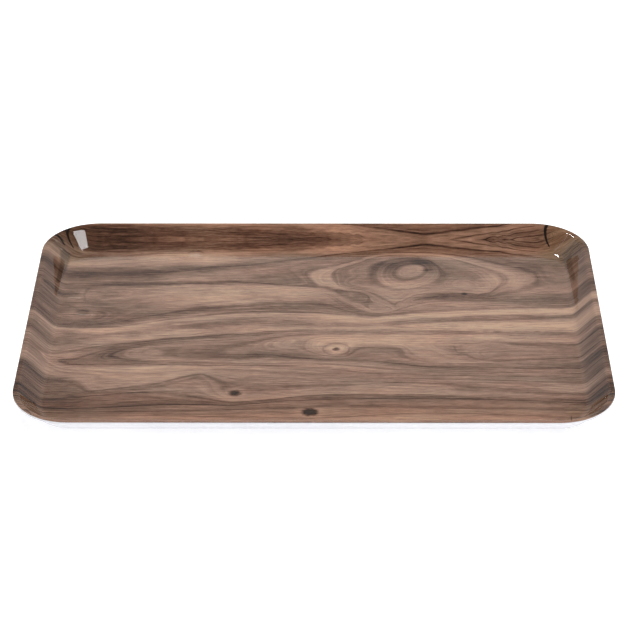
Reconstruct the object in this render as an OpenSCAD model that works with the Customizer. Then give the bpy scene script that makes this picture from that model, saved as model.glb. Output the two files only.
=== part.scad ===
// Rectangular melamine serving tray: a white compression-moulded shell, a walnut-printed
// decor foil pressed onto its upper side, and a clear melamine glaze over the foil.
// Origin: middle of the plane that the foot ring stands on. X is the long side, Z is up.

/* [Tray] */
// Length over the rim
tray_w = 450; // [380:5:530]
// Depth over the rim
tray_d = 300; // [250:5:350]
// Height from the foot ring's underside to the rim's outer edge
tray_h = 20; // [18:0.5:26]
// Radius of the rim's corners, seen from above
corner_r = 45; // [40:1:60]
// Thickness of the shell, foil and glaze together
wall_t = 3; // [2.6:0.1:3.6]

/* [Wall] */
// Slope of the wall's straight part, measured from the floor
wall_angle = 46; // [40:1:50]
// Inner radius where the floor turns up into the wall
foot_fillet_r = 8; // [5:0.5:10]
// Radius of the roll from the wall to the lip
lip_roll_r = 5; // [4:0.5:7]
// Width of the lip outside the roll
lip_w = 2.5; // [1.5:0.1:4]
// Slope of the lip, rising outwards
lip_angle = 6; // [2:1:10]
// Radius of the rim's rounded lower edge
nose_r = 1.2; // [0.6:0.1:1.6]

/* [Layers] */
// Thickness of the clear glaze
glaze_t = 0.35; // [0.3:0.05:0.5]
// Thickness of the printed decor foil
foil_t = 0.25; // [0.2:0.05:0.4]

/* [Foot ring] */
// Height of the foot ring below the shell's floor
foot_ring_h = 1.25; // [0.8:0.05:2]
// Width of the foot ring's standing face
foot_ring_w = 3.2; // [2:0.1:5]
// Distance of the foot ring in from the foot of the wall
foot_ring_gap = 6; // [4:0.5:8]

/* [Hidden] */
$fn = 96;
arc_steps = 6;
ring_draft = 0.5;
shell_color = [0.93, 0.93, 0.92];
walnut_color = [0.42, 0.30, 0.24];
glaze_color = [0.85, 0.88, 0.90, 0.35];

floor_z = foot_ring_h + wall_t;
rise = tray_h - floor_z;
straight_l = (rise - foot_fillet_r * (1 - cos(wall_angle))
    - lip_roll_r * (cos(lip_angle) - cos(wall_angle))
    - lip_w * sin(lip_angle)) / sin(wall_angle);
run = foot_fillet_r * sin(wall_angle) + straight_l * cos(wall_angle)
    + lip_roll_r * (sin(wall_angle) - sin(lip_angle)) + lip_w * cos(lip_angle);

// All section radii are measured from a corner's vertical axis.
foot_r = corner_r - run;
ring_outer_r = foot_r - foot_ring_gap;
ring_inner_r = ring_outer_r - foot_ring_w;
straight_x = tray_w - 2 * corner_r;
straight_y = tray_d - 2 * corner_r;

// Centre of the lip roll, which lies under the surface.
roll_c = [
    corner_r - lip_w * cos(lip_angle) + lip_roll_r * sin(lip_angle),
    tray_h - lip_w * sin(lip_angle) - lip_roll_r * cos(lip_angle)
];

// Section of the surface that lies depth below the tray's upper face, from a corner's
// axis out to the rim. Every such curve is parallel to the others.
function skin_line(depth) = concat(
    [[0, floor_z - depth]],
    [for (i = [0:arc_steps])
        let (t = wall_angle * i / arc_steps)
        [foot_r + (foot_fillet_r + depth) * sin(t),
         floor_z + foot_fillet_r - (foot_fillet_r + depth) * cos(t)]],
    [for (i = [0:arc_steps])
        let (t = wall_angle + (lip_angle - wall_angle) * i / arc_steps)
        roll_c + (lip_roll_r - depth) * [-sin(t), cos(t)]],
    [[corner_r, tray_h - depth / cos(lip_angle)]]
);

function reversed(list) = [for (i = [len(list) - 1:-1:0]) list[i]];
function without_last(list) = [for (i = [0:len(list) - 2]) list[i]];

// The rim's lower edge, from its outer side round to the underside of the lip.
nose_c = [
    corner_r - nose_r,
    tray_h - wall_t / cos(lip_angle) - nose_r * tan(lip_angle) + nose_r / cos(lip_angle)
];
nose = [for (i = [0:arc_steps])
    let (t = -(90 - lip_angle) * i / arc_steps)
    nose_c + nose_r * [cos(t), sin(t)]];

// The foot ring's section, outer side first.
foot_ring = [
    [ring_outer_r + ring_draft, foot_ring_h],
    [ring_outer_r, 0],
    [ring_inner_r, 0],
    [ring_inner_r - ring_draft, foot_ring_h]
];

// Section of one thin layer between two depths.
module layer_section(top, bottom) {
    polygon(concat(skin_line(top), reversed(skin_line(bottom))));
}

// Section of the moulded shell: its upper side carries the foil.
module shell_section() {
    underside = reversed(without_last(skin_line(wall_t)));
    upper_points = skin_line(glaze_t + foil_t);
    polygon(concat(
        upper_points,
        nose,
        without_last(underside),
        foot_ring,
        [underside[len(underside) - 1]]
    ));
}

// Carries a section round the rounded rectangle: turned at the corners, straight between.
module sweep_round() {
    for (sx = [-1, 1], sy = [-1, 1])
        translate([sx * straight_x / 2, sy * straight_y / 2, 0])
            rotate([0, 0, sx > 0 ? (sy > 0 ? 0 : -90) : (sy > 0 ? 90 : 180)])
                rotate_extrude(angle = 90) children();
    for (side = [0, 180]) {
        rotate([0, 0, side])
            translate([straight_x / 2, 0, 0])
                rotate([90, 0, 0])
                    linear_extrude(height = straight_y, center = true) children();
        rotate([0, 0, side + 90])
            translate([straight_y / 2, 0, 0])
                rotate([90, 0, 0])
                    linear_extrude(height = straight_x, center = true) children();
    }
}

// The flat middle of the floor, inside the swept corners and sides.
module floor_panel(top, bottom) {
    translate([-straight_x / 2, -straight_y / 2, floor_z - bottom])
        cube([straight_x, straight_y, bottom - top]);
}

// White melamine shell with its foot ring.
module tray_moulding() {
    color(shell_color) {
        sweep_round() shell_section();
        floor_panel(glaze_t + foil_t, wall_t);
    }
}

// Walnut-printed paper, pressed onto the shell up to the rim's edge.
module decor_foil() {
    color(walnut_color) {
        sweep_round() layer_section(glaze_t, glaze_t + foil_t);
        floor_panel(glaze_t, glaze_t + foil_t);
    }
}

// Clear melamine over the print.
module clear_glaze() {
    color(glaze_color) {
        sweep_round() layer_section(0, glaze_t);
        floor_panel(0, glaze_t);
    }
}

tray_moulding();
decor_foil();
clear_glaze();
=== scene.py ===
"""Looks of a rectangular melamine serving tray: white shell, walnut-printed foil, clear glaze."""
import math

import bmesh
import bpy
import numpy as np
from mathutils import Matrix, Vector


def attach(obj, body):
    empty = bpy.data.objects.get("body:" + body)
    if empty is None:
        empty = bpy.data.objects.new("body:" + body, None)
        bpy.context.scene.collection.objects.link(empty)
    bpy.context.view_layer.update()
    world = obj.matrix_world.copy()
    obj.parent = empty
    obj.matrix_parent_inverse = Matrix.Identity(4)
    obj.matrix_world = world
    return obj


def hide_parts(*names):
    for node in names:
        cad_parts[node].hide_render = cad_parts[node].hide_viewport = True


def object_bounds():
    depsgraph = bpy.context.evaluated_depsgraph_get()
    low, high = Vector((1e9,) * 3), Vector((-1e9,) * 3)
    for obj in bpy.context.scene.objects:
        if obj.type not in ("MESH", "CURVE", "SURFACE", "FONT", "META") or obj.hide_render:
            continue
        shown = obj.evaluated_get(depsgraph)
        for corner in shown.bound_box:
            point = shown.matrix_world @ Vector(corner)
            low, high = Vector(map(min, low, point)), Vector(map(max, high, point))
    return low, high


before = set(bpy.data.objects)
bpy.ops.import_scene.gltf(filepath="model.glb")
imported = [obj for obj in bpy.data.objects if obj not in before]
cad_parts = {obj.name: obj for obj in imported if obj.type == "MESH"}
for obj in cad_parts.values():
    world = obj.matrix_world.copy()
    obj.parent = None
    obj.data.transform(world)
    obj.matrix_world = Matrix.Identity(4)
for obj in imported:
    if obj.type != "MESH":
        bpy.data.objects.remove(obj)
cad_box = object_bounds()
MM = 0.001

# The tray's section, as the design gives it. Section radii are measured from a corner's axis.
LOW, HIGH = Vector(cad_box[0]), Vector(cad_box[1])
TRAY_W = HIGH.x - LOW.x
TRAY_D = HIGH.y - LOW.y
TRAY_H = HIGH.z - LOW.z
CORNER_R = 45 * MM
WALL_T = 3 * MM
GLAZE_T = 0.35 * MM
FOIL_T = 0.25 * MM
FOOT_RING_H = 1.25 * MM
FOOT_RING_W = 3.2 * MM
FOOT_RING_GAP = 6 * MM
RING_DRAFT = 0.5 * MM
RING_EDGE_R = 0.3 * MM
WALL_ANGLE = math.radians(46)
LIP_ANGLE = math.radians(6)
FOOT_FILLET_R = 8 * MM
LIP_ROLL_R = 5 * MM
LIP_W = 2.5 * MM
NOSE_R = 1.2 * MM
# Layers that touch are kept this far apart, so that they don't flicker.
FILM_GAP = 0.02 * MM

FLOOR_Z = FOOT_RING_H + WALL_T
RISE = TRAY_H - FLOOR_Z
STRAIGHT_L = (
    RISE
    - FOOT_FILLET_R * (1 - math.cos(WALL_ANGLE))
    - LIP_ROLL_R * (math.cos(LIP_ANGLE) - math.cos(WALL_ANGLE))
    - LIP_W * math.sin(LIP_ANGLE)
) / math.sin(WALL_ANGLE)
RUN = (
    FOOT_FILLET_R * math.sin(WALL_ANGLE)
    + STRAIGHT_L * math.cos(WALL_ANGLE)
    + LIP_ROLL_R * (math.sin(WALL_ANGLE) - math.sin(LIP_ANGLE))
    + LIP_W * math.cos(LIP_ANGLE)
)
FOOT_R = CORNER_R - RUN
HALF_X = TRAY_W / 2 - CORNER_R
HALF_Y = TRAY_D / 2 - CORNER_R

# Mesh spacing, which is wider on the plain white shell than on the printed foil.
GRID = 2.0 * MM
SHELL_GRID = 6.0 * MM
CORNER_STEPS = 40
ARC_STEPS = 10


# ---------------------------------------------------------------- section of the tray

def arc(centre, radius, start, end, steps=ARC_STEPS):
    """Points round a centre in the section. An angle of zero points down, and grows outwards."""
    angles = np.linspace(start, end, steps + 1)
    return [(centre[0] + radius * math.sin(t), centre[1] - radius * math.cos(t)) for t in angles]


def straight(start, end, spacing=GRID):
    """Points between two section points, without the ends."""
    length = math.hypot(end[0] - start[0], end[1] - start[1])
    steps = max(1, round(length / spacing))
    return [
        (start[0] + (end[0] - start[0]) * i / steps, start[1] + (end[1] - start[1]) * i / steps)
        for i in range(1, steps)
    ]


def skin_line(depth, spacing=GRID):
    """The surface that lies depth under the tray's upper face, from a corner's axis to the rim."""
    fillet = arc((FOOT_R, FLOOR_Z + FOOT_FILLET_R), FOOT_FILLET_R + depth, 0, WALL_ANGLE)
    roll_centre = (
        CORNER_R - LIP_W * math.cos(LIP_ANGLE) + LIP_ROLL_R * math.sin(LIP_ANGLE),
        TRAY_H - LIP_W * math.sin(LIP_ANGLE) - LIP_ROLL_R * math.cos(LIP_ANGLE),
    )
    roll = arc(roll_centre, -(LIP_ROLL_R - depth), WALL_ANGLE, LIP_ANGLE)
    axis = (0.0, FLOOR_Z - depth)
    rim = (CORNER_R, TRAY_H - depth / math.cos(LIP_ANGLE))
    return (
        [axis] + straight(axis, fillet[0], spacing) + fillet
        + straight(fillet[-1], roll[0], spacing) + roll + straight(roll[-1], rim, spacing) + [rim]
    )


def round_corner(before, corner, after, radius, steps=4):
    """Points that round off a section corner."""
    a = (Vector(before) - Vector(corner)).normalized()
    b = (Vector(after) - Vector(corner)).normalized()
    half = a.angle(b) / 2
    start = Vector(corner) + a * radius / math.tan(half)
    end = Vector(corner) + b * radius / math.tan(half)
    centre = Vector(corner) + (a + b).normalized() * radius / math.sin(half)
    points = []
    for i in range(steps + 1):
        chord = start.lerp(end, i / steps) - centre
        points.append(tuple(centre + chord.normalized() * radius))
    return points


# ---------------------------------------------------------------- meshes

COLUMNS = round(2 * HALF_X / GRID)
ROWS = round(2 * HALF_Y / GRID)


def perimeter():
    """Stations round the tray: the corner axis that each belongs to, and its outward direction."""
    stations = []
    for corner in range(4):
        ax = (1, -1, -1, 1)[corner] * HALF_X
        ay = (1, 1, -1, -1)[corner] * HALF_Y
        for step in range(CORNER_STEPS):
            angle = math.pi / 2 * (corner + step / CORNER_STEPS)
            stations.append((ax, ay, math.cos(angle), math.sin(angle)))
        bx = (-1, -1, 1, 1)[corner] * HALF_X
        by = (1, -1, -1, 1)[corner] * HALF_Y
        out_x = (0, -1, 0, 1)[corner]
        out_y = (1, 0, -1, 0)[corner]
        steps = (COLUMNS, ROWS)[corner % 2]
        for step in range(steps):
            t = step / steps
            stations.append((ax + (bx - ax) * t, ay + (by - ay) * t, out_x, out_y))
    return stations


def swept_piece(name, section, top_z, bottom_z):
    """Carries a section round the tray, and closes the floor's middle with two panels.

    The section runs from the corner axis on top, round the rim, and back to it underneath.
    """
    stations = perimeter()
    rings = len(section)
    verts = [
        (ax + radius * dx, ay + radius * dy, z)
        for ax, ay, dx, dy in stations
        for radius, z in section
    ]
    faces = []
    for s in range(len(stations)):
        a = s * rings
        b = (s + 1) % len(stations) * rings
        for k in range(rings - 1):
            faces.append((a + k, a + k + 1, b + k + 1, b + k))
    for z, upward in ((top_z, True), (bottom_z, False)):
        first = len(verts)
        for j in range(ROWS + 1):
            for i in range(COLUMNS + 1):
                x = -HALF_X + 2 * HALF_X * i / COLUMNS
                y = -HALF_Y + 2 * HALF_Y * j / ROWS
                verts.append((x, y, z))
        for j in range(ROWS):
            for i in range(COLUMNS):
                a = first + j * (COLUMNS + 1) + i
                quad = (a, a + 1, a + COLUMNS + 2, a + COLUMNS + 1)
                faces.append(quad if upward else quad[::-1])
    mesh = bpy.data.meshes.new(name)
    mesh.from_pydata(verts, [], faces)
    bm = bmesh.new()
    bm.from_mesh(mesh)
    bmesh.ops.remove_doubles(bm, verts=bm.verts, dist=1e-6)
    bmesh.ops.recalc_face_normals(bm, faces=bm.faces)
    bm.to_mesh(mesh)
    bm.free()
    mesh.polygons.foreach_set("use_smooth", [True] * len(mesh.polygons))
    mesh.set_sharp_from_angle(angle=math.radians(40))
    piece = bpy.data.objects.new(name, mesh)
    bpy.context.scene.collection.objects.link(piece)
    return piece


def layer(name, top, bottom):
    """A thin closed skin between two depths under the upper face."""
    upper = skin_line(top)
    lower = skin_line(bottom)[::-1]
    return swept_piece(name, upper + lower, FLOOR_Z - top, FLOOR_Z - bottom)


def moulding(name):
    """The white shell: the upper side that carries the foil, the rounded rim and the foot ring."""
    top = GLAZE_T + FOIL_T
    nose_centre = (
        CORNER_R - NOSE_R,
        TRAY_H - WALL_T / math.cos(LIP_ANGLE) - NOSE_R * math.tan(LIP_ANGLE)
        + NOSE_R / math.cos(LIP_ANGLE),
    )
    nose = arc(nose_centre, NOSE_R, math.pi / 2, LIP_ANGLE, 6)
    outer = FOOT_R - FOOT_RING_GAP
    inner = outer - FOOT_RING_W
    base = FOOT_RING_H
    lower = skin_line(WALL_T, SHELL_GRID)[::-1]
    under = [p for p in lower[1:] if p[0] > outer + RING_DRAFT + GRID / 2]
    path = [
        (outer + 3 * GRID, base), (outer + RING_DRAFT, base), (outer, 0.0),
        (inner, 0.0), (inner - RING_DRAFT, base), (0.0, base),
    ]
    ring = []
    for before, corner, after in zip(path, path[1:], path[2:]):
        ring += round_corner(before, corner, after, RING_EDGE_R)
    hub = straight(ring[-1], (0.0, base), SHELL_GRID) + [(0.0, base)]
    section = skin_line(top, SHELL_GRID) + nose + under + ring + hub
    return swept_piece(name, section, FLOOR_Z - top, base)


# ---------------------------------------------------------------- walnut figure

# The print's grain lines, given on the tray seen from above, in millimetres.
# A whole number is the dark edge of a growth ring, and a half is the middle of one.
GRAIN_LINES = (
    (-3, 0.3, ((-225, -150), (-75, -150), (75, -150), (225, -150))),
    (-2, 0.3, ((-225, -142), (-75, -142), (75, -142), (225, -142))),
    (-1, 0.3, ((-225, -134), (-75, -134), (75, -133), (225, -134))),
    (0, 0.5, ((-225, -126), (-100, -125), (0, -126), (100, -124), (225, -126))),
    (1, 0.6, ((-225, -119), (-150, -118), (-100, -118), (-40, -120), (0, -121), (25, -119),
        (50, -116), (80, -114), (110, -114), (150, -116), (190, -119), (225, -120))),
    (2, 0.65, ((-225, -114), (-190, -113), (-150, -112), (-105, -111), (-60, -109), (-15, -106),
        (15, -104), (40, -104), (60, -105), (105, -107), (150, -108), (225, -111))),
    (3, 0.9, ((-225, -107), (-205, -107), (-180, -108), (-150, -106), (-125, -103), (-105, -102),
        (-65, -103), (-40, -100), (-20, -97), (10, -95), (40, -94), (80, -94), (110, -94),
        (150, -96), (180, -98), (225, -102))),
    (4, 0.75, ((-225, -97), (-205, -96), (-190, -94), (-171, -91), (-150, -88), (-130, -86),
        (-115, -86), (-100, -89), (-85, -93), (-75, -96), (-62, -99), (-50, -98), (-30, -95),
        (-10, -91), (15, -89), (50, -89), (85, -89), (115, -91), (150, -93), (225, -97))),
    (5, 0.55, ((-225, -64), (-205, -67), (-195, -70), (-185, -74), (-177, -80), (-171, -85),
        (-160, -83), (-150, -81), (-135, -78), (-120, -74), (-110, -69), (-102, -65), (-95, -62),
        (-86, -60), (-80, -64), (-75, -68), (-70, -73), (-67, -79), (-66, -86), (-61, -91),
        (-55, -88), (-51, -83), (-45, -81), (-30, -79), (-15, -78), (0, -77), (20, -76), (40, -73),
        (60, -71), (85, -72), (100, -73), (120, -76), (140, -79), (155, -81), (165, -84),
        (185, -87), (225, -88))),
    (6, 0.35, ((-225, -38), (-212, -41), (-205, -46), (-198, -51), (-190, -54), (-170, -55),
        (-150, -57), (-125, -58), (-108, -57), (-95, -54), (-85, -53), (-70, -54), (-40, -57),
        (0, -61), (30, -65), (75, -66), (120, -67), (170, -70), (225, -73))),
    (7, 0.45, ((225, -66), (170, -63), (120, -62), (75, -60), (45, -59), (20, -54), (0, -51),
        (-30, -48), (-60, -47), (-85, -47), (-105, -46), (-130, -47), (-150, -47), (-165, -46),
        (-180, -47), (-190, -46), (-197, -42), (-190, -39), (-182, -36), (-174, -31), (-162, -25),
        (-145, -19), (-130, -15), (-115, -12), (-100, -9), (-80, -7))),
    (7, 0.35, ((-65, -5), (-50, -4), (-25, 1), (0, 3), (40, 3), (100, 2), (225, -1))),
    (8, 0.6, ((225, -59), (150, -57), (100, -55), (55, -52), (25, -47), (0, -45), (-30, -44),
        (-60, -44), (-80, -44), (-100, -43), (-120, -42), (-135, -41), (-146, -39), (-154, -36),
        (-159, -32), (-154, -28), (-147, -24), (-139, -21), (-130, -18), (-118, -16))),
    (8, 0.25, ((-100, -13), (-80, -11), (-50, -7), (-25, -2), (0, 1), (40, 1), (100, 0), (225, -3))),
    (9, 0.65, ((225, -52), (170, -51), (130, -50), (105, -50), (85, -49), (70, -46), (55, -43),
        (40, -41), (20, -39), (0, -38), (-18, -36), (-30, -33), (-45, -33), (-60, -35), (-72, -35),
        (-80, -33), (-88, -31), (-100, -30), (-115, -29))),
    (9, 0.4, ((-90, -25), (-75, -23), (-60, -18), (-48, -13), (-35, -8), (-22, -4), (-10, -2),
        (20, -1), (60, -1), (110, -2), (225, -5))),
    (10, 0.35, ((225, -7), (150, -5), (100, -5), (50, -5), (10, -5), (-6, -9), (-12, -14),
        (-14, -19), (-8, -25), (0, -30), (10, -34), (22, -35), (28, -31), (31, -26), (36, -22),
        (48, -21), (60, -21), (67, -24), (68, -30), (72, -36), (85, -41), (105, -44), (150, -45),
        (180, -44), (225, -43))),
    (10.5, 0, ((10, -9), (50, -10), (90, -9))),
    (10.5, 0, ((85, -25),)),
    (10.5, 0, ((95, -33),)),
    (10.5, 0, ((140, -9), (225, -12))),
    (11, 0.55, ((225, -17), (190, -17), (170, -17), (155, -15), (140, -13), (122, -14), (112, -17),
        (108, -22), (111, -29), (118, -33), (124, -37), (135, -40), (165, -39), (190, -37),
        (225, -36))),
    (11.5, 0, ((135, -26), (170, -27), (225, -29))),
    (6, 0.6, ((-225, -36), (-210, -33), (-200, -30), (-190, -27), (-175, -22), (-160, -18),
        (-145, -15), (-130, -12), (-115, -9), (-100, -7), (-80, -4), (-60, -2), (-45, 0))),
    (6, 0.4, ((-30, 3), (-10, 5), (20, 5), (50, 5), (80, 4), (120, 3), (150, 2), (225, 1))),
    (6.5, 0, ((-208, -38),)),
    (6.5, 0, ((-190, -33),)),
    (5, 0.6, ((-225, -14), (-205, -12), (-195, -9), (-183, -5), (-170, -2), (-155, 1), (-140, 3),
        (-120, 5), (-105, 8), (-90, 10), (-75, 13), (-60, 15), (-50, 17), (-30, 17), (-10, 15),
        (15, 14), (45, 13), (60, 14), (75, 16), (95, 18), (130, 20), (160, 21), (180, 23),
        (225, 26))),
    (4, 0.7, ((-225, 11), (-190, 9), (-172, 8), (-160, 9), (-145, 13), (-120, 20), (-100, 24),
        (-80, 28), (-60, 31), (-40, 32), (-20, 32), (0, 31), (20, 28), (35, 25), (48, 23), (60, 25),
        (80, 28), (110, 31), (150, 34), (225, 36))),
    (3, 0.45, ((-225, 15), (-205, 13), (-190, 12), (-172, 12), (-162, 14), (-150, 19), (-137, 24),
        (-120, 29), (-105, 34), (-90, 38), (-75, 40), (-55, 42), (-40, 44), (-28, 45), (-10, 45),
        (5, 43), (15, 40), (25, 34), (35, 30), (48, 27), (60, 29), (80, 33), (100, 35), (140, 38),
        (225, 41))),
    (2.5, 0, ((-140, 55), (-110, 60), (-75, 60), (-40, 58), (-15, 55))),
    (2, 0.35, ((-225, 71), (-205, 73), (-170, 74), (-140, 75), (-100, 77), (-75, 76), (-58, 75),
        (-45, 71), (-30, 70), (-15, 68), (-5, 66), (5, 63), (12, 59), (17, 54), (21, 48), (27, 42),
        (34, 36), (42, 32), (50, 30), (57, 31), (66, 35), (76, 42), (90, 48), (110, 50), (150, 51),
        (225, 53))),
    (1, 0.75, ((-225, 75), (-205, 76), (-170, 78), (-140, 79), (-100, 80), (-75, 80), (-55, 79),
        (-40, 77), (-20, 74), (0, 72), (10, 70), (20, 67), (30, 65), (38, 62), (43, 57), (43, 50),
        (41, 43), (45, 36), (54, 34), (62, 37), (70, 44), (79, 50), (90, 55), (105, 57), (120, 57),
        (135, 56), (148, 61), (160, 65), (172, 69), (180, 76), (183, 84), (181, 94), (170, 101),
        (155, 108), (143, 113), (130, 119), (118, 123), (100, 127), (75, 128), (60, 127), (48, 124),
        (38, 118), (28, 112), (18, 107), (7, 104), (-1, 101), (-8, 92), (-5, 83), (0, 76))),
    (1.5, 0, ((3, 90),)),
    (1.5, 0, ((6, 78),)),
    (1.5, 0, ((165, 85),)),
    (1.5, 0, ((160, 73),)),
    (1.5, 0, ((163, 96),)),
    (2, 0.65, ((60, 48), (55, 53), (49, 59), (42, 64), (34, 68), (26, 70), (20, 73), (17, 80),
        (15, 88), (15, 95), (19, 101), (26, 105), (34, 110), (43, 117), (52, 121), (65, 124),
        (80, 125), (98, 123), (112, 119), (122, 113), (133, 106), (144, 99), (152, 92), (155, 85),
        (153, 77), (147, 69), (141, 62), (132, 59), (122, 61), (108, 62), (95, 62), (86, 60),
        (77, 55), (70, 49), (64, 43))),
    (2.5, 0, ((30, 90),)),
    (2.5, 0, ((75, 62),)),
    (2.5, 0, ((140, 84),)),
    (3, 0.6, ((48, 95), (48, 87), (50, 80), (55, 74), (62, 70), (72, 68), (80, 69), (88, 74),
        (96, 79), (102, 85), (104, 93), (102, 101), (97, 110), (90, 117), (78, 119), (65, 116),
        (55, 110), (50, 103))),
    (3.5, 0, ((57, 88), (62, 78), (73, 75), (88, 80), (95, 90))),
    (4, 0.5, ((65, 98), (64, 91), (68, 85), (76, 83), (83, 86), (89, 92), (92, 100), (88, 108),
        (78, 109), (69, 105))),
    (4.5, 0, ((77, 93),)),
    (0, 0.5, ((-225, 92), (-190, 92), (-150, 93), (-120, 96), (-100, 100), (-80, 104), (-60, 106),
        (-45, 109), (-30, 113), (-10, 119), (0, 121))),
    (0, 1.5, ((8, 123), (20, 126), (40, 130), (60, 132), (80, 134), (92, 135), (105, 134),
        (125, 132), (148, 130))),
    (0, 0.6, ((160, 127), (175, 123))),
    (0, 0.15, ((190, 119), (225, 110))),
    (0.5, 0, ((-125, 83), (-100, 87), (-75, 94), (-50, 101), (-25, 107), (0, 113), (20, 119),
        (45, 126))),
    (0.5, 0, ((192, 90), (225, 84))),
    (-1, 0.35, ((-225, 122), (-190, 121), (-160, 122), (-130, 126), (-100, 128), (-70, 130),
        (-30, 131), (10, 134), (54, 138))),
    (-1, 1.4, ((112, 138), (130, 136), (150, 134), (180, 130))),
    (-1, 0.15, ((225, 121),)),
    (-2, 0.5, ((-225, 131), (-160, 132), (-110, 132), (-70, 134), (-20, 135), (10, 136), (34, 138))),
    (-2, 1.4, ((135, 138), (160, 136))),
    (-2, 0.15, ((190, 133), (225, 127))),
    (-3, 0.4, ((-225, 137), (-160, 136), (-110, 136), (-40, 137))),
    (-3, 1.4, ((150, 138), (185, 136))),
    (-3, 0.15, ((225, 132),)),
    (-0.5, 0, ((-225, 110), (-180, 108), (-140, 111), (-100, 114), (-60, 118), (-20, 125),
        (20, 130), (40, 133), (60, 135))),
    (-0.5, 0, ((118, 135),)),
    (-0.5, 0, ((140, 133),)),
    (-0.5, 0, ((170, 129), (225, 118))),
)

# Creases and small marks of the print, and painted shade at the feet of the end walls: width in
# millimetres, strength, and points along them. A strength below zero is pale.
MARKS = (
    (3.0, 1.0, ((-218, 131), (-213, 128), (-209, 125), (-205, 122))),
    (4.2, 1.0, ((-205, 146), (-207, 139), (-207, 134), (-205, 130), (-202, 127))),
    (3.6, 1.0, ((194, 148), (192, 143), (192, 139), (193, 135), (195, 131))),
    # Painted shade: dark wedges at the feet of the end walls, by the back corners.
    (9.0, 0.5, ((-208, 121), (-208, 100), (-210, 72))),
    (8.0, 0.35, ((208, 115), (209, 98), (211, 74))),
    (1.5, 0.6, ((-225, -100), (-221, -98), (-217, -98))),
    (2.0, 0.5, ((-209, -104), (-213, -110), (-217, -117))),
    (1.4, 0.8, ((-213, -132), (-209, -137), (-207, -142))),
    (1.2, 0.6, ((192, -118), (192, -126))),
    (1.2, 0.7, ((189, -142), (189, -149))),
    (1.6, 0.7, ((203, -141), (208, -138), (213, -134), (217, -130))),
    (1.2, 0.6, ((223, -105), (221, -111), (222, -117))),
    (1.0, -0.15, ((199, 127), (204, 128), (208, 131), (211, 134))),
    (0.9, -0.15, ((-219, 125), (-213, 121), (-208, 117))),
    (1.8, 0.3, ((109, -19), (111, -28), (118, -32), (124, -38))),
    (1.6, 0.2, ((66, -24), (70, -28), (69, -33))),
    (1.3, 0.25, ((-86, -60), (-78, -66), (-71, -73), (-67, -80))),
    (3.0, 0.45, ((-181, 33), (-187, 34), (-193, 32))),
    (2.2, -0.2, ((-192, 29), (-184, 28), (-176, 28))),
    (5.0, 0.35, ((-219, 60), (-205, 60), (-191, 61))),
    (2.6, -0.15, ((-190, 54), (-200, 55))),
    (3.5, 0.22, ((-184, 70), (-187, 60), (-185, 48))),
    (2.5, 0.2, ((-200, 44), (-193, 39), (-190, 36))),
    (2.0, 0.2, ((-178, 50), (-165, 49), (-152, 50))),
    (5.0, 0.25, ((97, 110), (88, 115), (78, 113))),
    # A dark line along the front lip's outer edge.
    (1.7, 0.5, ((0, -149.5), (-95, -149.5), (-186, -149.5))),
    (1.7, 0.45, ((0, -149.5), (100, -149.5), (188, -149.5))),
    (12.0, -0.2, ((-100, 120), (-100, 124), (-100, 127.5))),
    (1.8, 0.4, ((-100, 130), (-105, 128.5), (-109, 125))),
    (1.8, 0.4, ((-100, 130), (-95, 128.5), (-91, 125))),
    # Painted shade in the back right corner, where the floor meets the wall.
    (5.0, 0.3, ((205, 118), (212, 121), (220, 125))),
)
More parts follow.
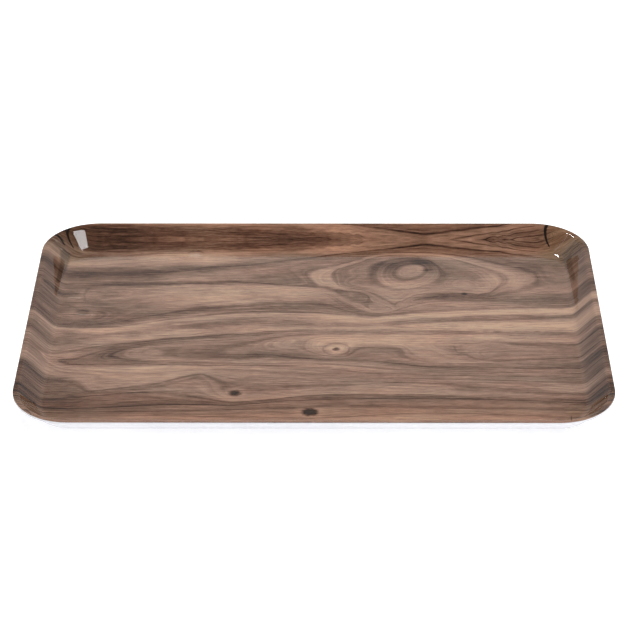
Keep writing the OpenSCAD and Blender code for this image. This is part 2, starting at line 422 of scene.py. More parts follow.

# Tones of the wood at places seen from above, with painted shade on the right wall: for each
# x, pairs of y and a tone, which is 0 dark to 100 light. Millimetres.
SHADES = {
    -218: ((-115, 30), (-102, 20), (-94, 36), (-84, 34), (-70, 30), (-56, 66), (-42, 70), (-28, 62),
        (-16, 50), (-6, 42), (62, 15)),
    -217: ((77, 30), (83, 55), (93, 30)),
    -216: ((104, 66),),
    -214: ((113, 62), (118, 45)),
    -212: ((124, 25),),
    -208: ((-44, 60),),
    -206: ((130, 22),),
    -205: ((-57, 62), (-24, 58), (-5, 45), (4, 60), (24, 25), (61, 15), (97, 22)),
    -204: ((-82, 34), (-72, 26)),
    -203: ((-93, 40), (-35, 70)),
    -200: ((-113, 36), (-47, 50), (-14, 38), (16, 30), (36, 28), (46, 35), (86, 25), (92, 22),
        (112, 72)),
    -196: ((54, 65), (67, 50)),
    -195: ((-88, 36), (-78, 30), (73, 40), (81, 65), (120, 36)),
    -194: ((-42, 26),),
    -192: ((-51, 60), (-33, 82), (-26, 34), (126, 50)),
    -190: ((-120, 50), (-106, 20), (-101, 26), (-60, 66), (-14, 62), (3, 80), (10, 30), (40, 28),
        (47, 30), (104, 90), (115, 70), (131, 25), (134, 30)),
    -187: ((27, 60),),
    -186: ((-41, 26),),
    -185: ((-80, 30), (-52, 76), (-20, 66), (70, 35), (98, 20)),
    -184: ((-45, 28), (-33, 72)),
    -183: ((56, 30),),
    -180: ((-113, 38), (-92, 40), (45, 38), (81, 60), (87, 22), (120, 36)),
    -178: ((-85, 30), (-28, 34), (127, 50)),
    -176: ((-38, 32),),
    -175: ((-104, 26), (-68, 64), (-23, 40), (18, 35), (36, 32), (131, 20), (137, 15)),
    -170: ((-108, 30), (-98, 36), (-58, 70), (-51, 84), (-43, 36), (4, 90), (27, 35), (92, 20)),
    -168: ((-30, 24), (132, 12)),
    -166: ((134, -5),),
    -165: ((-86, 38), (-79, 60), (-10, 72), (46, 50), (54, 66), (68, 62), (98, 18), (112, 68),
        (138, -15)),
    -164: ((-37, 28),),
    -163: ((127, 40),),
    -160: ((-121, 58), (-92, 40), (-74, 64), (-30, 20), (-25, 28), (-19, 32), (12, 28), (38, 40),
        (86, 30), (90, 20), (120, 50)),
    -158: ((-41, 36), (132, 30)),
    -155: ((-101, 30), (136, 30)),
    -152: ((-25, 28),),
    -150: ((-112, 42), (-107, 36), (-84, 34), (-62, 72), (-52, 80), (-32, 46), (-4, 74), (-2, 70),
        (9, 80), (22, 30), (60, 60), (68, 60), (75, 15), (80, 28), (95, 15), (106, 90)),
    -146: ((-42, 33),),
    -145: ((-96, 42), (-70, 66), (-16, 30), (42, 48), (100, 20)),
    -142: ((-19, 36),),
    -140: ((-89, 38), (-28, 50), (-9, 70), (88, 22), (119, 80), (132, 35), (137, 45)),
    -135: ((-100, 28), (-81, 36), (30, 35), (76, 18)),
    -130: ((-70, 60), (-62, 74), (-53, 80), (-44, 36), (-35, 50), (-24, 52), (-13, 33), (15, 75),
        (60, 62), (101, 20)),
    -125: ((-107, 42), (-92, 36)),
    -120: ((-121, 58), (-82, 40), (-76, 42), (-3, 72), (28, 25), (83, 65), (112, 80), (130, 45)),
    -115: ((-99, 26), (-20, 52), (-9, 20), (89, 35), (97, 20)),
    -112: ((-60, 76), (-44, 38), (-37, 52)),
    -110: ((-112, 38), (-91, 34), (-82, 50), (-78, 42), (-53, 78), (3, 72), (20, 70), (50, 66),
        (137, 40)),
    -105: ((-106, 36), (-72, 44), (-56, 78), (33, 20), (96, 30), (103, 20)),
    -100: ((-87, 50), (-34, 50), (-20, 50), (-7, 20), (12, 45), (78, 22), (87, 80), (122, 85),
        (127, 85), (134, 40), (138, 62)),
    -98: ((-82, 62),),
    -95: ((-100, 26), (-94, 32), (-75, 40), (-51, 70), (113, 88)),
    -92: ((-68, 50),),
    -90: ((-42, 58), (-28, 36), (30, 35), (36, 22), (66, 66), (100, 25)),
    -87: ((-64, 46),),
    -85: ((-106, 42), (-88, 66), (-82, 68), (-50, 60), (-38, 55), (-17, 50), (-12, 44), (-5, 25),
        (14, 35), (24, 75), (93, 72), (130, 35)),
    -82: ((-70, 46),),
    -80: ((-121, 58), (-112, 40), (-99, 28), (-55, 56), (52, 68), (103, 12), (137, 30)),
    -77: ((-84, 66),),
    -76: ((-75, 42),),
    -75: ((-46, 42), (-35, 33), (-27, 46), (38, 30), (79, 18), (87, 42), (103, 20)),
    -74: ((-91, 64),),
    -70: ((-84, 42), (-78, 34), (-62, 54), (-40, 64), (-22, 42), (-14, 52), (8, 80)),
    -66: ((-94, 62),),
    -65: ((-101, 34), (-51, 56), (-3, 35), (98, 68)),
    -62: ((-106, 44),),
    -60: ((-115, 46), (-73, 44), (-35, 28), (-29, 46), (-10, 50), (17, 30), (27, 72), (35, 40),
        (46, 70), (64, 66), (90, 35), (106, 18), (114, 80), (122, 65), (127, 50), (134, 25)),
    -57: ((-94, 60),),
    -55: ((-79, 40), (-18, 38)),
    -50: ((-122, 62), (-100, 28), (-91, 62), (-65, 52), (-55, 54), (-24, 50), (41, 35), (78, 30),
        (84, 40)),
    -48: ((-86, 66), (-32, 25)),
    -45: ((-106, 44), (-39, 66), (52, 70), (94, 30), (102, 75)),
    -42: ((-12, 40),),
    -40: ((-112, 50), (-74, 42), (-47, 40), (-5, 55), (26, 60), (71, 85), (110, 15), (136, 25)),
    -38: ((-90, 56), (-29, 28), (-19, 54)),
    -35: ((-98, 26), (-84, 64), (36, 42)),
    -30: ((-103, 40), (-78, 40), (-64, 50), (-54, 54), (-6, 42), (10, 85), (17, 36), (43, 25),
        (88, 40), (98, 30), (121, 60), (130, 45)),
    -28: ((-32, 26), (-13, 56)),
    -25: ((-20, 56), (107, 70)),
    -20: ((-121, 56), (-110, 48), (-95, 26), (-87, 56), (-82, 62), (-74, 40), (-41, 64), (-26, 44),
        (26, 68), (41, 22), (60, 68), (116, 20), (133, 35)),
    -18: ((-7, 62),),
    -15: ((-100, 42), (-36, 30), (69, 85), (80, 32), (92, 30)),
    -12: ((103, 32),),
    -10: ((-67, 48), (-56, 52), (-48, 44), (45, 30), (52, 66), (128, 60)),
    -8: ((-33, 42), (-15, 74)),
    -5: ((-93, 28), (-86, 56), (-81, 60), (-43, 64), (111, 60)),
    -4: ((-24, 66),),
    0: ((-73, 42), (-38, 26), (38, 42), (88, 75), (121, 22), (134, 40)),
    3: ((66, 70), (93, 80)),
    4: ((-10, 82),),
    5: ((55, 60), (109, 30)),
    8: ((-97, 40), (-49, 66), (-30, 50), (80, 65)),
    10: ((-122, 64), (-92, 26), (-76, 40), (-60, 48), (-44, 62), (-39, 28), (-17, 72), (15, 50),
        (23, 72), (114, 45)),
    12: ((-86, 58), (-81, 64), (-54, 50), (103, 70)),
    15: ((-106, 46), (-8, 80), (42, 28), (60, 55), (130, 75)),
    20: ((-113, 54), (-68, 48), (-36, 42), (113, 28), (135, 50)),
    22: ((-45, 66), (46, 20), (57, 65), (106, 60)),
    25: ((-99, 34), (-92, 26), (-76, 42), (-51, 70), (36, 30)),
    26: ((84, 35), (95, 40)),
    28: ((-16, 76), (42, 22), (60, 55)),
    30: ((-80, 64), (-58, 44), (-40, 30), (-9, 80), (9, 85), (50, 35), (65, 35), (118, 30)),
    32: ((-31, 44), (104, 35), (112, 55)),
    33: ((58, 40),),
    34: ((-25, 40),),
    35: ((-108, 56), (-85, 60), (21, 85), (31, 35), (52, 35), (133, 70)),
    38: ((36, 60), (44, 60), (60, 25), (98, 35), (110, 35)),
    40: ((-121, 70), (-98, 42), (-65, 46), (-47, 60), (-36, 44), (80, 40), (127, 35)),
    41: ((53, 22),),
    42: ((-92, 22), (-54, 66), (62, 45), (117, 50)),
    45: ((-114, 48), (-29, 50), (-23, 36), (-16, 74), (116, 30), (136, 60)),
    48: ((88, 20),),
    50: ((-73, 38), (-59, 38), (-42, 34), (-9, 76), (20, 90), (46, 70), (56, 50), (70, 50),
        (97, 15)),
    52: ((33, 75), (106, 20)),
    55: ((-109, 58), (-101, 36), (-79, 66), (124, 60)),
    56: ((88, 60),),
    57: ((-30, 52), (-23, 38)),
    58: ((-92, 28), (42, 60), (98, 40)),
    60: ((-84, 60), (-65, 50), (-38, 42), (3, 50), (15, 50), (60, 55), (80, 75), (113, 25),
        (129, 40), (134, 50)),
    62: ((-45, 32), (-15, 76), (45, 62), (92, 30)),
    64: ((99, 18),),
    65: ((-54, 46), (-26, 32), (107, 10)),
    68: ((75, 80), (86, 30)),
    69: ((-31, 36),),
    70: ((-120, 72), (-99, 44), (10, 82), (38, 45), (120, 55)),
    72: ((-92, 24), (-40, 42), (98, 70), (110, 25)),
    75: ((-112, 60), (-107, 50), (-76, 68), (-72, 40), (-9, 76), (23, 80), (60, 60), (132, 35),
        (138, 50)),
    76: ((-22, 68), (84, 35), (93, 82)),
    78: ((-48, 30), (-15, 78), (75, 82), (112, 5)),
    80: ((-81, 62), (-65, 50), (-59, 42), (-30, 72), (45, 50), (102, 50), (126, 80)),
    83: ((97, 72),),
    85: ((-100, 38), (-54, 46), (66, 60), (113, 0)),
    86: ((90, 30),),
    87: ((104, 80),),
    88: ((-36, 68), (-13, 66), (80, 70)),
    90: ((-92, 26), (-8, 78), (58, 35), (121, 70), (131, 45), (138, 50)),
    93: ((99, 0), (113, 10)),
    95: ((-111, 56), (-106, 48), (-85, 56), (-78, 62), (-50, 32), (-17, 74), (18, 45), (45, 58),
        (87, 62)),
    97: ((-26, 70), (95, 50)),
    98: ((-40, 60), (102, 30)),
    100: ((-121, 72), (-117, 52), (-100, 44), (-74, 42), (11, 88), (68, 62), (124, 75)),
    104: ((-34, 66), (-22, 58)),
    105: ((59, 30),),
    108: ((-93, 24), (84, 42), (95, 45), (112, 50)),
    110: ((-68, 46), (-58, 48), (-50, 36), (-24, 34), (-8, 76), (6, 80), (27, 90), (137, 60)),
    115: ((-98, 44), (-87, 54), (-80, 54), (44, 60), (76, 50), (104, 42)),
    117: ((-33, 32),),
    118: ((-22, 56),),
    120: ((-116, 50), (-104, 42), (-42, 55), (-12, 66), (2, 45), (70, 66), (129, 35)),
    122: ((104, 40),),
    123: ((-37, 30),),
    125: ((-109, 50), (-95, 24), (-53, 42), (-6, 80), (58, 20), (92, 28), (137, 65)),
    128: ((-28, 60), (84, 32)),
    130: ((-121, 68), (-100, 46), (-89, 54), (-83, 60), (-71, 46), (-64, 46), (-58, 44), (-47, 42),
        (20, 30), (116, 65), (124, 35)),
    132: ((72, 70),),
    135: ((44, 55), (126, 35)),
    136: ((58, 12),),
    140: ((-39, 34), (-20, 58), (-8, 74), (13, 85), (50, 42), (78, 72), (92, 62), (112, 60)),
    142: ((70, 55), (116, 25)),
    144: ((63, 20),),
    145: ((-111, 54), (-96, 24), (-86, 60), (108, 68), (134, 55)),
    146: ((86, 70),),
    150: ((-117, 46), (-103, 46), (-79, 40), (-64, 42), (-57, 46), (-51, 38), (-46, 44), (-43, 54),
        (-32, 62), (30, 92), (52, 35), (64, 55), (70, 30), (72, 70), (118, 40), (126, 30)),
    155: ((-16, 42), (110, 22)),
    160: ((-122, 66), (-90, 50), (-71, 44), (-40, 36), (-24, 54), (-8, 50), (99, 70), (119, 35)),
    163: ((137, 35),),
    165: ((-113, 56), (-98, 30), (-77, 50), (-60, 40), (-36, 50), (66, 80), (80, 72), (106, 20)),
    168: ((73, 66),),
    170: ((-82, 70), (-48, 34), (50, 32), (58, 42)),
    172: ((90, 66), (100, 15), (131, 60)),
    174: ((134, 30), (138, 75)),
    175: ((-105, 46), (-86, 32), (-28, 42), (-8, 70), (111, 40)),
    180: ((-92, 46), (-77, 58), (-74, 42), (-57, 44), (-21, 46), (23, 35), (97, 10), (126, 50)),
    185: ((-117, 46), (-112, 50), (-99, 32), (-65, 36), (-42, 50), (-37, 36), (-18, 36), (121, 32),
        (138, 35)),
    186: ((131, 45),),
    188: ((-26, 38), (94, 15)),
    190: ((-122, 62), (-117, 40), (-81, 76), (-49, 28), (1, 40), (5, 75), (12, 82), (31, 90),
        (52, 30), (62, 40), (67, 75), (72, 30), (112, 50), (128, 40)),
    192: ((86, 50),),
    195: ((-87, 34), (-9, 74), (76, 25), (104, 45), (117, 36), (127, 50), (136, 40)),
    200: ((-128, 28), (-107, 44), (-92, 44), (-80, 74), (-68, 42), (-58, 42), (-48, 26), (-41, 46),
        (-35, 38), (-25, 42), (-18, 36), (57, 20), (88, 45), (92, 25)),
    202: ((-100, 28),),
    205: ((124, 45),),
    # The columns from x 208 on lie at the foot of and up the right wall, and their dark tones are
    # partly painted shade.
    208: ((112, 18),),
    210: ((128, 45),),
    212: ((-120, 28),),
    213: ((118, 40),),
    216: ((88, 55), (98, 40), (110, 25)),
    218: ((-115, 30), (-103, 10), (-96, 14), (-88, 10), (-80, 40), (-70, 20), (-58, 16), (-48, 2),
        (-37, 24), (-28, 26), (-18, 16), (-7, 40)),
}

# Spacing of the points along a grain line, and how far its darkness reaches. Millimetres.
LINE_SPACING = 8.0
LINE_REACH = 5.5
# Scale of the ring surface, and how little it may miss a line.
FIELD_SCALE = 100.0
LINE_EASE = 3e-5
# The points are worked out in this many batches, to save memory.
BATCHES = 80
# How far a tone reaches: along x and y in millimetres, and across the rings.
SHADE_REACH = np.array((32.0, 10.0))
RING_REACH = 0.45
# Spacing of the points along a mark, and the share of its width that it loses by its end.
MARK_SPACING = 2.0
MARK_TAPER = 0.7
# The print is mirrored about this line, half way up the back wall. Millimetres.
BACK_FOLD_Y = 138.0
# How warm and dark the print is, from front to back: warm print at the front, and painted warm shade
# up the back wall.
WARMTH_AND_SHADE_Y = (-155, -105, -85, 120, 130, 145)
WARMTH_AND_SHADE = (0.7, 0.6, 0.0, 0.0, 1.0, 1.0)
# How much further back the warm, shaded bands lie towards the left end.
WARMTH_AND_SHADE_SHIFT_X = (-120, -60)
WARMTH_AND_SHADE_SHIFT = (5, 0)
# What the two ends add to the tone, in front of the back wall: painted shade up both end walls, and
# a darker print over the left end of the floor.
END_X = (-216, -206, -150, -130, 206, 216)
END_SHADE = (-0.12, -0.05, -0.05, 0.0, 0.0, -0.11)
BACK_WALL_Y = (122, 130)
# The corners are olive beyond these distances from the middle, and most of all the back right.
OLIVE_X = (183, 195)
OLIVE_Y = (98, 113)
OLIVE = 0.4
OLIVE_BACK_RIGHT = 0.7


def smooth_line(points, spacing=LINE_SPACING):
    """Even points along a curve through the given ones."""
    p = np.array(points, float)
    if len(p) < 2:
        return p
    p = np.vstack([2 * p[0] - p[1], p, 2 * p[-1] - p[-2]])
    out = [p[1]]
    for a, b, c, d in zip(p, p[1:], p[2:], p[3:]):
        steps = max(1, round(float(np.hypot(*(c - b))) / spacing))
        for t in np.arange(1, steps + 1) / steps:
            bend = (2 * a - 5 * b + 4 * c - d) * t**2 + (3 * b - a - 3 * c + d) * t**3
            out.append((2 * b + (c - a) * t + bend) / 2)
    return np.array(out)


def squares(points, others):
    """Squared distances between two sets of points."""
    return ((points[:, None] - others[None]) ** 2).sum(-1)


def plate(square):
    """The thin plate's bending kernel."""
    square = np.maximum(square / FIELD_SCALE**2, 1e-12)
    return square * np.log(square) / 2


def sloped(points):
    """The flat part of the ring field."""
    return np.column_stack([np.ones(len(points)), points / FIELD_SCALE])


def ring_surface():
    """Points along every grain line, how dark the line is there, and the weights of the smooth
    surface that passes through all their ring numbers."""
    curves = [(ring, strength, smooth_line(line)) for ring, strength, line in GRAIN_LINES]
    drawn = np.vstack([curve for ring, strength, curve in curves])
    rings = np.concatenate([np.full(len(curve), ring) for ring, strength, curve in curves])
    strengths = np.concatenate([np.full(len(curve), strength) for ring, strength, curve in curves])
    flat = sloped(drawn)
    bend = plate(squares(drawn, drawn)) + LINE_EASE * np.eye(len(drawn))
    system = np.block([[bend, flat], [flat.T, np.zeros((3, 3))]])
    return drawn, strengths, np.linalg.solve(system, np.concatenate([rings, np.zeros(3)]))


def ring_at(points, square, weights):
    """Ring numbers at points, whose squared distances to the drawn points are given."""
    return plate(square) @ weights[:-3] + sloped(points) @ weights[-3:]


def tone_at(points, rings, places, place_rings):
    """Tones at points, from the given places that are near them and on much the same ring."""
    apart = squares(points / SHADE_REACH, places[:, :2] / SHADE_REACH)
    apart += ((rings[:, None] - place_rings[None]) / RING_REACH) ** 2
    weight = np.exp(-apart) + 1e-5 * np.exp(-apart / 25)
    return weight @ places[:, 2] / weight.sum(1)


def figure_at(points):
    """Ring number, line strength and tone of the print at points seen from above. A line
    fades away from the places where it was drawn, because its ring number can come again."""
    drawn, strengths, weights = ring_surface()
    places = np.array([(x, y, tone / 100) for x, column in SHADES.items() for y, tone in column])
    spots = places[:, :2]
    place_rings = ring_at(spots, squares(spots, drawn), weights)
    found = []
    for part in np.array_split(points, BATCHES):
        square = squares(part, drawn)
        rings = ring_at(part, square, weights)
        near = np.exp(-square / LINE_REACH**2)
        strength = near @ strengths / np.maximum(near.sum(1), 1.0)
        found.append(np.column_stack([rings, strength, tone_at(part, rings, places, place_rings)]))
    return np.vstack(found)


def end_shade(points):
    """What the two ends add to the tone: painted shade up the end walls, and a darker print at the
    left end of the floor.
    """
    in_front = np.interp(points[:, 1], BACK_WALL_Y, (1, 0))
    return np.interp(points[:, 0], END_X, END_SHADE) * in_front


def marks_at(points):
    """For the nearest mark: how far off its middle a point is, in half widths, and how dark
    or pale the mark is. A mark is widest at its first point, and has two sides, so that the
    distance passes through zero between two points of the mesh."""
    apart = np.full(len(points), 6.0)
    strength = np.zeros(len(points))
    for width, dark, line in MARKS:
        curve = smooth_line(line, MARK_SPACING)
        ends = (curve[0], curve[1] - curve[0]), (curve[-1], curve[-2] - curve[-1])
        beside = np.all([(points - end) @ inward > 0 for end, inward in ends], axis=0)
        for a, b, t in zip(curve, curve[1:], np.linspace(0, 1, len(curve) - 1)):
            reach = b - a
            along = np.clip((points - a) @ reach / (reach @ reach), 0, 1)
            gap = points - a - along[:, None] * reach
            side = np.where(gap[:, 0] * reach[1] > gap[:, 1] * reach[0], 1, -1)
            off = np.hypot(*gap.T) / (width / 2 * (1 - MARK_TAPER * t))
            nearer = off < abs(apart)
            apart = np.where(nearer, off * side, apart)
            strength = np.where(nearer, dark * beside, strength)
    return np.column_stack([apart, np.maximum(strength, 0), np.maximum(-strength, 0)])


def tint_and_shade_at(points):
    """How warm and dark the print is, from front to back, with painted warm shade up the back wall,
    and how olive it is, at the corners.
    """
    x, y = points.T
    warmth_and_shade = np.interp(y - np.interp(x, WARMTH_AND_SHADE_SHIFT_X, WARMTH_AND_SHADE_SHIFT), WARMTH_AND_SHADE_Y, WARMTH_AND_SHADE)
    corner = np.interp(abs(x), OLIVE_X, (0, 1)) * np.interp(abs(y), OLIVE_Y, (0, 1))
    olive = corner * np.where((x > 0) & (y > 0), OLIVE_BACK_RIGHT, OLIVE)
    return np.column_stack([warmth_and_shade, olive, 0 * warmth_and_shade])


def add_figure(piece):
    """Stores the figure on the foil's points, as vectors that the material reads."""
    mesh = piece.data
    co = np.zeros(len(mesh.vertices) * 3)
    mesh.vertices.foreach_get("co", co)
    seen = co.reshape(-1, 3)[:, :2] / MM
    place = seen.copy()
    place[:, 1] = np.where(seen[:, 1] > BACK_FOLD_Y, 2 * BACK_FOLD_Y - seen[:, 1], seen[:, 1])
    ring, strength, tone = figure_at(place).T
    for name, vectors in (
        ("grain", np.column_stack([place * MM, ring])),
        # The stored tone carries the painted shade of the end walls.
        ("figure", np.column_stack([tone + end_shade(seen), strength, 0 * ring])),
        ("marks", marks_at(seen)),
        ("tint_and_shade", tint_and_shade_at(seen)),
    ):
        data = mesh.attributes.new(name, "FLOAT_VECTOR", "POINT").data
        data.foreach_set("vector", vectors.ravel())


# ---------------------------------------------------------------- node helpers

def srgb(red, green, blue):
    """A colour in display values from 0 to 255, as linear light."""
    def linear(value):
        value /= 255
        return value / 12.92 if value <= 0.04045 else ((value + 0.055) / 1.055) ** 2.4
    return (linear(red), linear(green), linear(blue), 1.0)


class Nodes:
    """Short calls for building one material's nodes."""

    def __init__(self, name):
        self.material = bpy.data.materials.new(name)
        self.material.use_nodes = True
        self.tree = self.material.node_tree
        self.tree.nodes.clear()

    def feed(self, socket, value):
        if isinstance(value, bpy.types.NodeSocket):
            self.tree.links.new(value, socket)
        else:
            socket.default_value = value

    def add(self, kind, sockets=None, **settings):
        node = self.tree.nodes.new("ShaderNode" + kind)
        for key, value in settings.items():
            setattr(node, key, value)
        for key, value in (sockets or {}).items():
            self.feed(node.inputs[key], value)
        return node

    def stored(self, name):
        """The three parts of a vector that is stored on the mesh."""
        vector = self.add("Attribute", attribute_name=name).outputs["Vector"]
        return self.add("SeparateXYZ", {"Vector": vector}).outputs[:]

    def math(self, operation, *values):
        return self.add("Math", dict(enumerate(values)), operation=operation).outputs[0]

    def vector(self, operation, a, b):
        return self.add("VectorMath", {0: a, 1: b}, operation=operation).outputs[0]

    def noise(self, place, scale=1.0, detail=2.0, roughness=0.5):
        sockets = {"Vector": place, "Scale": scale, "Detail": detail, "Roughness": roughness}
        return self.add("TexNoise", sockets).outputs["Fac"]

    def smooth(self, value, low, high, to_low=0.0, to_high=1.0):
        """A soft step between two values."""
        sockets = {
            "Value": value, "From Min": low, "From Max": high, "To Min": to_low, "To Max": to_high,
        }
        return self.add("MapRange", sockets, interpolation_type="SMOOTHSTEP").outputs[0]

    def ramp(self, value, stops):
        node = self.add("ValToRGB", {"Fac": value})
        elements = node.color_ramp.elements
        while len(elements) < len(stops):
            elements.new(0.5)
        for element, (position, colour) in zip(elements, stops):
            element.position = position
            element.color = colour
        return node.outputs["Color"]

    def blend(self, kind, factor, a, b):
        node = self.add("Mix", data_type="RGBA", blend_type=kind)
        self.feed(node.inputs["Factor"], factor)
        self.feed(node.inputs["A"], a)
        self.feed(node.inputs["B"], b)
        return node.outputs["Result"]

    def finish(self, shader):
        self.add("OutputMaterial", {"Surface": shader})
        return self.material


# ---------------------------------------------------------------- materials

def floor_paint():
    """White paint, lit a little from inside so that the tray's shadow stays faint."""
    n = Nodes("floor_paint")
    bsdf = n.add("BsdfPrincipled", {
        "Base Color": (0.96, 0.96, 0.96, 1), "Roughness": 0.8,
        "Emission Color": (1, 1, 1, 1), "Emission Strength": 0.4,
    })
    return n.finish(bsdf.outputs[0])


def white_melamine():
    """Pressed white resin: glossy, with the faint flow and specks of a moulding."""
    n = Nodes("white_melamine")
    place = n.add("TexCoord").outputs["Object"]
    flow = n.noise(place, 18, 3)
    colour = n.ramp(flow, ((0.3, srgb(222, 222, 227)), (0.7, srgb(229, 229, 233))))
    rough = n.smooth(n.noise(place, 60, 4), 0.3, 0.7, 0.14, 0.24)
    bump = n.add("Bump", {"Strength": 0.15, "Distance": 0.0002, "Height": n.noise(place, 90, 3)})
    bsdf = n.add("BsdfPrincipled", {
        "Base Color": colour, "Roughness": rough, "Normal": bump.outputs[0], "IOR": 1.5,
    })
    return n.finish(bsdf.outputs[0])


# Knots of the print: x, y and radius in millimetres, darkness, brightness of the wood round it,
# and the radius of a thin dark ring outside that.
KNOTS = (
    (17, -23.5, 2.8, 0.75, 0.22, 8.6),
    (-60, -86.5, 4.2, 0.7, 0.12, 0),
    (-3, -112.5, 5.4, 1.1, 0.10, 0),
    (92, 100, 4.0, 0.22, 0, 0),
    (87, 113, 8.0, 0.16, 0, 0),
    (121, 61, 2.2, 0.5, 0, 0),
    (-186, 32, 5.5, 0.22, 0.08, 0),
)

KNOT_SQUASH = 0.85
KNOT_RING_DARK = 0.2

# Colours of the wood from dark to light, as linear light.
WALNUT_STOPS = (
    (0.0, (0.028, 0.015, 0.010, 1)),
    (0.2, (0.090, 0.046, 0.031, 1)),
    (0.4, (0.168, 0.097, 0.068, 1)),
    (0.6, (0.268, 0.164, 0.120, 1)),
    (0.8, (0.380, 0.240, 0.176, 1)),
    (1.0, (0.520, 0.340, 0.235, 1)),
)
# Near black of the dark marks: print creases, and painted shade at the wall feet.
DARK_MARK = (0.010, 0.007, 0.005, 1)
PALE_MARK = (0.80, 0.74, 0.66, 1)
# A warm darkening: warm print at the front, and painted warm shade up the back wall.
WARM_TINT_AND_SHADE = (1.04, 0.90, 0.80, 1)
OLIVE_TINT = (0.93, 1.0, 0.84, 1)
RING_LINE_DARK = 0.3
PORE_DARK = 0.1


def ring_lines(n, place, ring, strength, warmth_and_shade):
    """Dark where the ring number is whole, with an edge that wanders less on the back wall."""
    wander = n.noise(n.vector("MULTIPLY", place, (40, 120, 1)), 1, 3)
    wander = n.math("MULTIPLY_ADD", wander, 0.12, -0.06)
    calm = n.math("SUBTRACT", 1.0, warmth_and_shade)
    ring = n.math("MULTIPLY_ADD", wander, calm, ring)
    line = n.smooth(n.math("PINGPONG", ring, 0.5), 0.02, 0.17, 1.0, 0.0)
    return n.math("MULTIPLY", line, strength)


def wood_texture(n, place, ring):
    """Bands along the rings, fibres, threads and patches, about zero on average."""
    x = n.add("SeparateXYZ", {"Vector": place}).outputs["X"]
    flow = n.add("CombineXYZ", {
        "X": n.math("MULTIPLY", x, 14.0), "Y": n.math("MULTIPLY", ring, 5.0), "Z": 0.0,
    }).outputs[0]
    texture = n.math("MULTIPLY_ADD", n.noise(flow, 1.0, 5, 0.65), 0.5, -0.25)
    for stretch, detail, amount in (
        ((40, 620, 1), 4, 0.7),
        ((150, 1300, 1), 3, 0.45),
        ((22, 60, 1), 2, 0.2),
    ):
        noise = n.noise(n.vector("MULTIPLY", place, stretch), 1.0, detail, 0.62)
        texture = n.math("ADD", texture, n.math("MULTIPLY_ADD", noise, amount, -amount / 2))
    return texture


def knot_tone(n, place):
    """What the knots add to the tone: dark middles, pale halos and thin rings."""
    ragged = n.noise(n.vector("MULTIPLY", place, (300, 500, 1)), 1, 3)
    ragged = n.math("MULTIPLY_ADD", ragged, 4 * MM, -2 * MM)
    tone = 0.0
    for x, y, radius, dark, halo, rim in KNOTS:
        gap = n.vector("SUBTRACT", place, (x * MM, y * MM, 0))
        gap = n.vector("MULTIPLY", gap, (KNOT_SQUASH, 1, 1))
        distance = n.add("VectorMath", {0: gap}, operation="LENGTH").outputs["Value"]
        distance = n.math("ADD", distance, ragged)
        spot = n.smooth(distance, radius * 0.3 * MM, radius * 1.3 * MM, dark, 0.0)
        tone = n.math("SUBTRACT", tone, spot)
        if halo:
            pale = n.smooth(distance, radius * 1.2 * MM, radius * 2.6 * MM, halo, 0.0)
            tone = n.math("ADD", tone, pale)
        if rim:
            off = n.math("ABSOLUTE", n.math("SUBTRACT", distance, rim * MM))
            thin = n.smooth(off, 0.2 * MM, 1.4 * MM, KNOT_RING_DARK, 0.0)
            tone = n.math("SUBTRACT", tone, thin)
    return tone


def marked(n, place, colour):
    """The print with its dark marks, some of them painted shade, and its pale ones, which are broken
    up.
    """
    apart, dark, pale = n.stored("marks")
    mark = n.smooth(n.math("ABSOLUTE", apart), 0.55, 1.15, 1.0, 0.0)
    broken = n.smooth(n.noise(place, 700, 2), 0.35, 0.6, 0.35, 1.0)
    colour = n.blend("MIX", n.math("MULTIPLY", mark, dark), colour, DARK_MARK)
    pale = n.math("MULTIPLY", n.math("MULTIPLY", mark, pale), broken)
    return n.blend("MIX", pale, colour, PALE_MARK)


def wood_tone(n, place, ring, shade, strength, warmth_and_shade):
    """How light the wood is: its shade and texture, with painted shade up the back wall, less the
    ring lines, pores and knots.
    """
    contrast = n.math("MULTIPLY_ADD", warmth_and_shade, -0.1, 1.35)
    shade = n.math("MULTIPLY", shade, n.math("MULTIPLY_ADD", warmth_and_shade, 0.25, 1.0))
    # Painted shade: the tone is made darker up the back wall.
    shade = n.math("ADD", shade, n.math("MULTIPLY_ADD", warmth_and_shade, -0.18, 0.12))
    tone = n.math("MULTIPLY_ADD", wood_texture(n, place, ring), contrast, shade)
    line = ring_lines(n, place, ring, strength, warmth_and_shade)
    tone = n.math("SUBTRACT", tone, n.math("MULTIPLY", line, RING_LINE_DARK))
    pores = n.noise(n.vector("MULTIPLY", place, (190, 1500, 1)), 1.0, 2, 0.6)
    pores = n.math("MULTIPLY", n.smooth(pores, 0.58, 0.76), PORE_DARK)
    tone = n.math("SUBTRACT", tone, pores)
    return n.math("ADD", tone, knot_tone(n, place))


def wood_colour(n, place, tone, warmth_and_shade, olive):
    """The colour of a tone, with slow changes of hue, the warm parts, which up the back wall are
    painted shade, and the olive parts.
    """
    colour = n.ramp(tone, WALNUT_STOPS)
    hue = n.noise(n.vector("MULTIPLY", place, (14, 70, 1)), 1.0, 3, 0.6)
    cast = n.ramp(hue, ((0.3, (0.94, 1.0, 1.0, 1)), (0.7, (1.05, 0.99, 0.97, 1))))
    colour = n.blend("MULTIPLY", 1.0, colour, cast)
    # Painted warm shade up the back wall, and a warm print at the front.
    colour = n.blend("MULTIPLY", warmth_and_shade, colour, WARM_TINT_AND_SHADE)
    return n.blend("MULTIPLY", olive, colour, OLIVE_TINT)


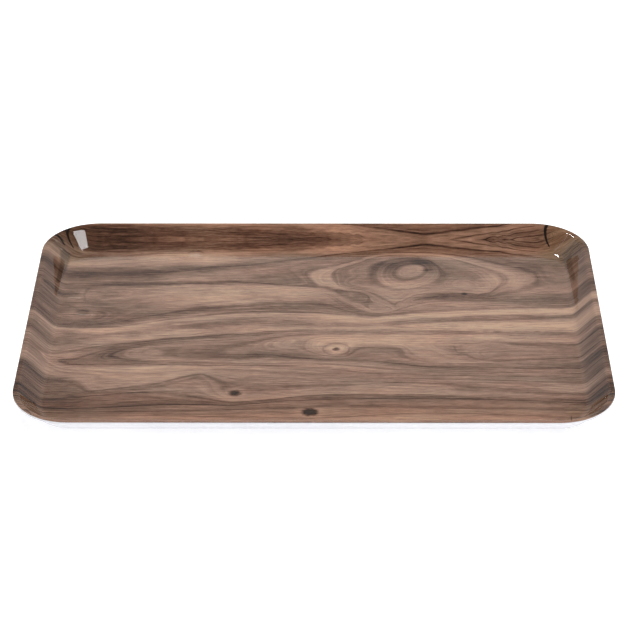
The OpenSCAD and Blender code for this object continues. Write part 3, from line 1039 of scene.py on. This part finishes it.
def walnut_print():
    """The printed wood, from the figure stored on the foil and from noise. It has no gloss of
    its own, because the clear layer over it has."""
    n = Nodes("walnut_print")
    x, y, ring = n.stored("grain")
    shade, strength = n.stored("figure")[:2]
    warmth_and_shade, olive = n.stored("tint_and_shade")[:2]
    place = n.add("CombineXYZ", {"X": x, "Y": y}).outputs[0]
    tone = wood_tone(n, place, ring, shade, strength, warmth_and_shade)
    colour = marked(n, place, wood_colour(n, place, tone, warmth_and_shade, olive))
    bsdf = n.add("BsdfPrincipled", {
        "Base Color": colour, "Roughness": 0.6, "Specular IOR Level": 0.0,
    })
    return n.finish(bsdf.outputs[0])


def clear_melamine():
    """Clear resin: a mirror share by angle on its outer side, and nothing else but clear."""
    n = Nodes("clear_melamine")
    share = n.add("Fresnel", {"IOR": 1.55}).outputs[0]
    outer = n.math("SUBTRACT", 1.0, n.add("NewGeometry").outputs["Backfacing"])
    clear = n.add("BsdfTransparent").outputs[0]
    wave = n.noise(n.add("TexCoord").outputs["Object"], 80, 1)
    bump = n.add("Bump", {"Strength": 0.4, "Distance": 0.0002, "Height": wave}).outputs[0]
    gloss = n.add("BsdfGlossy", {"Roughness": 0.035, "Normal": bump}).outputs[0]
    mix = n.add("MixShader", {0: n.math("MULTIPLY", share, outer), 1: clear, 2: gloss})
    return n.finish(mix.outputs[0])


# ---------------------------------------------------------------- the tray

shell = moulding("white_shell")
foil = layer("printed_foil", GLAZE_T, GLAZE_T + FOIL_T - FILM_GAP)
glaze = layer("glaze_layer", 0.0, GLAZE_T - FILM_GAP)
add_figure(foil)
shell.data.materials.append(white_melamine())
foil.data.materials.append(walnut_print())
glaze.data.materials.append(clear_melamine())

for piece, node, slot in (
    (shell, "tray_moulding", "white_melamine"),
    (foil, "decor_foil", "walnut_print"),
    (glaze, "clear_glaze", "clear_melamine"),
):
    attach(piece, "root")
    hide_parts(node)


# ---------------------------------------------------------------- camera

CAMERA_AIM = Vector((1.85 * MM, -1.94 * MM, TRAY_H))
CAMERA_DISTANCE = 1.864
CAMERA_ELEVATION = math.radians(31.27)
CAMERA_AZIMUTH = math.radians(0.395)
CAMERA_ROLL = math.radians(-0.165)
LENS = 134.95


def add_camera():
    """A long lens, as for a catalogue picture, square to the tray's long side."""
    data = bpy.data.cameras.new("camera")
    data.lens = LENS
    data.sensor_width = 36
    data.clip_end = 20
    camera = bpy.data.objects.new("camera", data)
    flat = math.cos(CAMERA_ELEVATION)
    back = Vector((
        math.sin(CAMERA_AZIMUTH) * flat, -math.cos(CAMERA_AZIMUTH) * flat, math.sin(CAMERA_ELEVATION)
    ))
    turn = back.to_track_quat("Z", "Y").to_matrix().to_4x4()
    roll = Matrix.Rotation(CAMERA_ROLL, 4, "Z")
    camera.matrix_world = Matrix.Translation(CAMERA_AIM + back * CAMERA_DISTANCE) @ turn @ roll
    bpy.context.scene.collection.objects.link(camera)
    bpy.context.scene.camera = camera


add_camera()

# ---------------------------------------------------------------- stage and light

def panel(name, size, location, target, material):
    """A flat stage panel that faces a target."""
    mesh = bpy.data.meshes.new(name)
    x, y = size[0] / 2, size[1] / 2
    mesh.from_pydata([(-x, -y, 0), (x, -y, 0), (x, y, 0), (-x, y, 0)], [], [(0, 1, 2, 3)])
    mesh.materials.append(material)
    obj = bpy.data.objects.new(name, mesh)
    obj.location = location
    facing = Vector(target) - Vector(location)
    obj.rotation_euler = facing.to_track_quat("Z", "Y").to_euler()
    bpy.context.scene.collection.objects.link(obj)
    return obj


def area_light(name, size, location, target, radiance):
    """A soft box, by the brightness of its face."""
    data = bpy.data.lights.new(name, "AREA")
    data.shape = "RECTANGLE"
    data.size, data.size_y = size
    data.energy = radiance * math.pi * size[0] * size[1]
    light = bpy.data.objects.new(name, data)
    light.location = location
    light.rotation_euler = (Vector(location) - Vector(target)).to_track_quat("Z", "Y").to_euler()
    bpy.context.scene.collection.objects.link(light)
    return light


panel("floor", (6, 6), (0, 0, 0), (0, 0, 1), floor_paint())
area_light("front_box", (0.85, 0.65), (1.17, -0.69, 1.94), (-0.1, 0.1, 0), 10.5)
area_light("back_lamp", (0.33, 0.33), (-0.62, 1.15, 1.68), (0, 0.1, 0), 30)
top_fill = area_light("top_fill", (1.5, 1.5), (0, -0.2, 2.3), (0, 0, 0), 3.6)
# The fill doesn't show in reflections, where it would hide the print.
top_fill.visible_glossy = False

# Brightness of the surroundings by the sine of the height above the horizon.
SURROUNDINGS = ((0.0, 0.5), (0.48, 0.62), (0.52, 0.56), (0.56, 0.38), (0.66, 0.15), (1.0, 0.12))


def studio_world():
    """Pale walls all round, brightest near the floor, under a dim ceiling."""
    world = bpy.data.worlds.new("studio")
    world.use_nodes = True
    tree = world.node_tree
    place = tree.nodes.new("ShaderNodeTexCoord")
    split = tree.nodes.new("ShaderNodeSeparateXYZ")
    fade = tree.nodes.new("ShaderNodeValToRGB")
    elements = fade.color_ramp.elements
    while len(elements) < len(SURROUNDINGS):
        elements.new(0.5)
    for element, (height, level) in zip(elements, SURROUNDINGS):
        element.position = height
        element.color = (level, level, level, 1)
    tree.links.new(place.outputs["Generated"], split.inputs[0])
    tree.links.new(split.outputs["Z"], fade.inputs["Fac"])
    tree.links.new(fade.outputs["Color"], tree.nodes["Background"].inputs["Color"])
    tree.nodes["Background"].inputs["Strength"].default_value = 1.0
    return world


bpy.context.scene.world = studio_world()
bpy.context.scene.view_settings.view_transform = "Standard"
